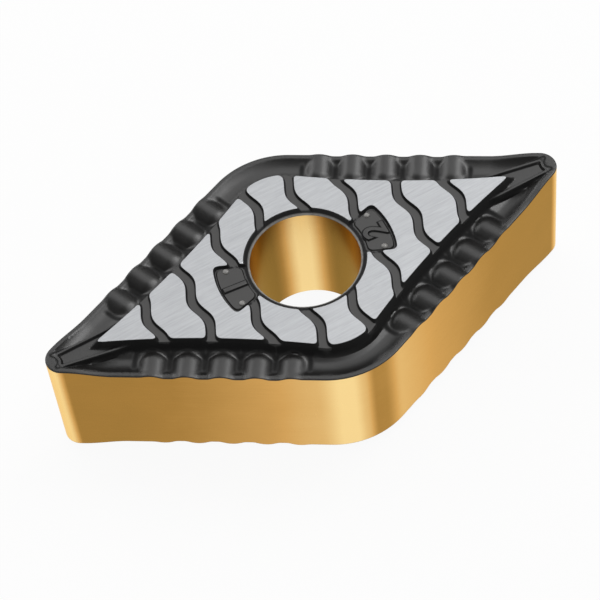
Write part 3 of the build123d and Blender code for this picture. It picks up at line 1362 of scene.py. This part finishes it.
@dataclass
class IndexNumerals:
    """Raised plain digits that number the four seats."""

    sizes: InsertSizes
    material: Material
    digit_height: float = 1.55
    stroke_gain: float = 0.025
    painted_outline_gain: float = 0.105
    painted_outline_raise: float = 0.008
    raise_by: float = 0.03
    rounding: float = 0.03
    crisp_angle: float = 50.0

    def _drawn(self, text: str, gain: float, raise_by: float, rounding: float) -> bpy.types.Mesh:
        """One digit drawn flat as a solid mesh in millimetres.

        Args:
            text: The digit.
            gain: How much its strokes are widened on each side.
            raise_by: Half of its thickness.
            rounding: Size of its rounded edges.

        Returns:
            The mesh.
        """
        font = bpy.data.curves.new(f"numeral_{text}", "FONT")
        font.body, font.size, font.offset = text, self.digit_height, gain
        font.align_x, font.align_y = "CENTER", "CENTER"
        font.extrude, font.bevel_depth = raise_by, rounding
        font.bevel_resolution, font.resolution_u = 2, 5
        source = new_object("numeral_source", font)
        mesh = plain_mesh(source)
        bpy.data.objects.remove(source)
        return mesh

    def _digit(self, text: str, turn: float, over: float) -> Thing:
        """One digit on a wider flat base that only carries a painted shade outline, as a closed
        mesh, laid on its plate.

        Args:
            text: The digit.
            turn: Turn about the insert's axis, in radians.
            over: Turn about the long axis, in radians.

        Returns:
            The piece.
        """
        laid = (Matrix.Rotation(over, 4, "X") @ Matrix.Rotation(turn, 4, "Z")
                @ Matrix.Translation((self.sizes.numeral_place, 0.0, self.sizes.tablet_height))
                @ Matrix.Rotation(math.pi / 2, 4, "Z"))
        work = bmesh.new()
        # The wider flat base carries painted shade, a dark outline round the digit.
        for part in (self._drawn(text, self.painted_outline_gain, self.painted_outline_raise, 0.0),
                     self._drawn(text, self.stroke_gain, self.raise_by, self.rounding)):
            part.transform(Matrix.Scale(MM, 4) @ laid)
            work.from_mesh(part)
            bpy.data.meshes.remove(part)
        bmesh.ops.remove_doubles(work, verts=work.verts, dist=1e-7)
        bmesh.ops.recalc_face_normals(work, faces=work.faces)
        mesh = bpy.data.meshes.new(f"numeral_{text}")
        work.to_mesh(mesh)
        work.free()
        return new_object(f"numeral_{text}", mesh)

    def dress(self, piece: Thing) -> Thing:
        """Gives a digit its coating, painted light on top and painted shade on its sides and base,
        and hands it over.

        Args:
            piece: The digit.

        Returns:
            The finished piece.
        """
        mesh = piece.data
        mesh.shade_smooth()
        mesh.set_sharp_from_angle(angle=math.radians(self.crisp_angle))
        mesh.materials.append(self.material)
        top = max(abs(vertex.co.z) for vertex in mesh.vertices) - 0.002 * MM
        painted_face_shading = [0.9 if abs(face.center.z) > top else -1.0 for face in mesh.polygons]
        # A bore_gap of 1 keeps the painted edge highlight off the digits.
        for name, values in (("shade", painted_face_shading), ("bore_gap", [1.0] * len(painted_face_shading))):
            mesh.attributes.new(name, "FLOAT", "FACE").data.foreach_set("value", values)
        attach(piece, "root")
        return told(piece)

    def build(self) -> list[Thing]:
        """Builds and dresses the four numerals."""
        return [self.dress(self._digit(text, turn, over)) for text, turn, over in (
            ("1", math.pi, 0.0), ("2", 0.0, 0.0), ("3", math.pi, math.pi), ("4", 0.0, math.pi))]


@dataclass
class IndexPips:
    """Round raised pips beside the digits, two on each plate."""

    sizes: InsertSizes
    material: Material
    radius: float = 0.15
    raise_by: float = 0.07
    reach: float = 0.98

    def build(self) -> Thing:
        """Builds the pips.

        Returns:
            The finished piece.
        """
        tree = NodeTree("index_pips")
        radius, raised, place, reach, level = tree.sizes(
            pip_radius=self.radius, lift=self.raise_by, place=self.sizes.numeral_place,
            reach=self.reach, level=self.sizes.tablet_height)
        index = tree.term("GeometryNodeInputIndex")

        def sign(step: float) -> Term:
            """-1 or 1, changing with every step of the index."""
            return (index / step).math("FLOOR").math("MODULO", 2.0) * 2.0 - 1.0

        spot = tree.joined(place * sign(1.0), reach * sign(2.0), level * sign(4.0))
        dome = tree.term("GeometryNodeMeshUVSphere", {"Segments": 20, "Rings": 10,
                                                      "Radius": radius})
        low = tree.shape("Transform", dome, scale=tree.joined(1.0, 1.0, raised / radius))
        scaled = tree.shape("Transform", tree.repeat(8, low, position=spot), scale=(MM, MM, MM))
        tree.finish(tree.shape("SetShadeSmooth", scaled), [(True, self.material)])
        piece = new_object("numeral_pips", bpy.data.meshes.new("numeral_pips"))
        # The pips carry no bore_gap, so the rake coating's painted edge highlight greys them all
        # over.
        piece.data.materials.append(self.material)
        return self.dress(tree.apply_to(piece))

    def dress(self, piece: Thing) -> Thing:
        """Hands the pips over.

        Args:
            piece: The pips.

        Returns:
            The finished piece.
        """
        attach(piece, "root")
        return told(piece)


# ------------------------------------------------------------------ studio
@dataclass(frozen=True)
class Lamp:
    """One soft lamp: its name, place in degrees and millimetres, size and power."""

    name: str
    azimuth: float
    elevation: float
    distance: float
    width: float
    height: float
    power: float


LAMPS = (
    Lamp("soft_above", 150.0, 57.0, 220.0, 190.0, 150.0, 0.13),
    Lamp("soft_back_left", -150.0, 40.0, 200.0, 120.0, 70.0, 0.085),
    Lamp("soft_right", 105.0, 52.0, 200.0, 90.0, 70.0, 0.10),
    Lamp("soft_front", -12.0, 32.0, 260.0, 240.0, 130.0, 0.045),
    Lamp("soft_low_back", 176.0, 17.0, 220.0, 170.0, 40.0, 0.08),
    Lamp("soft_top", 85.0, 72.0, 180.0, 100.0, 80.0, 0.045),
)


@dataclass
class Studio:
    """A plain pale floor, soft lamps and the camera."""

    floor_level: float = -InsertSizes.seat_height * MM
    floor_half: float = 3.0
    floor_whiteness: float = 0.94
    world_level: float = 0.14
    azimuth: float = -17.36
    elevation: float = 55.18
    roll: float = -7.65
    distance: float = 115.59
    aim: tuple = (-0.48, -0.09)
    lens: float = 147.42

    def _aim(self, thing: Thing, azimuth: float, elevation: float,
             distance: float, roll: float = 0.0, shift: tuple = (0.0, 0.0)) -> None:
        """Places a lamp or camera on a sphere round the insert, looking at it.

        Args:
            thing: The lamp or camera.
            azimuth: Degrees round the insert from its front.
            elevation: Degrees above the floor.
            distance: Millimetres from the middle.
            roll: Degrees about the line of sight.
            shift: Millimetres to the right and up.
        """
        a, e, r = (math.radians(v) for v in (azimuth, elevation, roll))
        back = Vector((math.sin(a) * math.cos(e), -math.cos(a) * math.cos(e), math.sin(e)))
        level = (-back).cross(Vector((0, 0, 1))).normalized()
        above = level.cross(-back)
        right = math.cos(r) * level + math.sin(r) * above
        up = math.cos(r) * above - math.sin(r) * level
        place = (back * distance + right * shift[0] + up * shift[1]) * MM
        turn = Matrix((right, up, back)).transposed().to_4x4()
        thing.matrix_world = Matrix.Translation(place) @ turn

    def _camera(self) -> None:
        """Makes the camera."""
        data = bpy.data.cameras.new("camera")
        data.lens, data.sensor_width = self.lens, 36.0
        data.clip_start, data.clip_end = 0.005, 10.0
        camera = new_object("camera", data)
        self._aim(camera, self.azimuth, self.elevation, self.distance, self.roll, self.aim)
        bpy.context.scene.camera = camera

    def _floor(self) -> None:
        """Makes the pale floor, which shows white and keeps the shadow."""
        half = self.floor_half
        mesh = bpy.data.meshes.new("floor")
        corners = [(-half, -half), (half, -half), (half, half), (-half, half)]
        mesh.from_pydata([(x, y, self.floor_level) for x, y in corners], [], [(0, 1, 2, 3)])
        floor = new_object("floor", mesh)
        made = ShaderMaker.material("floor_paper")
        made.tree.nodes.clear()
        path = made.add("ShaderNodeLightPath")
        seen = Term(made, path.outputs["Is Camera Ray"])
        for name in ("Is Glossy Ray", "Is Transmission Ray"):
            seen = seen.math("MAXIMUM", Term(made, path.outputs[name]))
        colour = made.ramp(made.noise(900.0, 3.0, 0.5),
                           ((0.3, (0.86, 0.86, 0.86)), (0.7, (0.88, 0.88, 0.88))))
        matt = made.term("ShaderNodeBsdfDiffuse", {"Color": colour})
        white = made.term("ShaderNodeEmission", {"Color": (1.0, 1.0, 1.0, 1.0), "Strength": 1.0})
        mix = made.term("ShaderNodeMixShader", {0: seen * self.floor_whiteness, 1: matt, 2: white})
        made.add("ShaderNodeOutputMaterial", {0: mix}).is_active_output = True
        mesh.materials.append(made.owner)

    def _lamp(self, lamp: Lamp) -> None:
        """Makes one soft lamp.

        Args:
            lamp: Its place, size and power.
        """
        data = bpy.data.lights.new(lamp.name, "AREA")
        data.shape = "RECTANGLE"
        data.size, data.size_y = lamp.width * MM, lamp.height * MM
        data.energy = lamp.power
        self._aim(new_object(lamp.name, data), lamp.azimuth, lamp.elevation, lamp.distance)

    def build(self) -> None:
        """Builds the whole studio."""
        self._floor()
        self._camera()
        for lamp in LAMPS:
            self._lamp(lamp)
        world = bpy.data.worlds.new("studio_air")
        bpy.context.scene.world = world
        world.use_nodes = True
        background = world.node_tree.nodes["Background"]
        background.inputs["Color"].default_value = (1.0, 1.0, 1.0, 1.0)
        background.inputs["Strength"].default_value = self.world_level
        bpy.context.scene.view_settings.view_transform = "Standard"
        LOG.info("studio: floor, %d soft lamps and camera", len(LAMPS))


def main() -> None:
    """Builds the insert and its studio in order."""
    logging.basicConfig(level=logging.INFO, format="%(name)s: %(message)s")
    sizes = InsertSizes()
    effects = SurfaceEffects()
    finishes = {
        Finish.FLANK: FlankCoating().make(effects),
        Finish.RAKE: RakeCoating().make(effects),
        Finish.SEAT: GroundSeat().make(effects),
    }
    InsertBody(sizes, finishes).build()
    IndexNumerals(sizes, finishes[Finish.RAKE]).build()
    IndexPips(sizes, finishes[Finish.RAKE]).build()
    Studio().build()


if __name__ == "__main__":
    main()
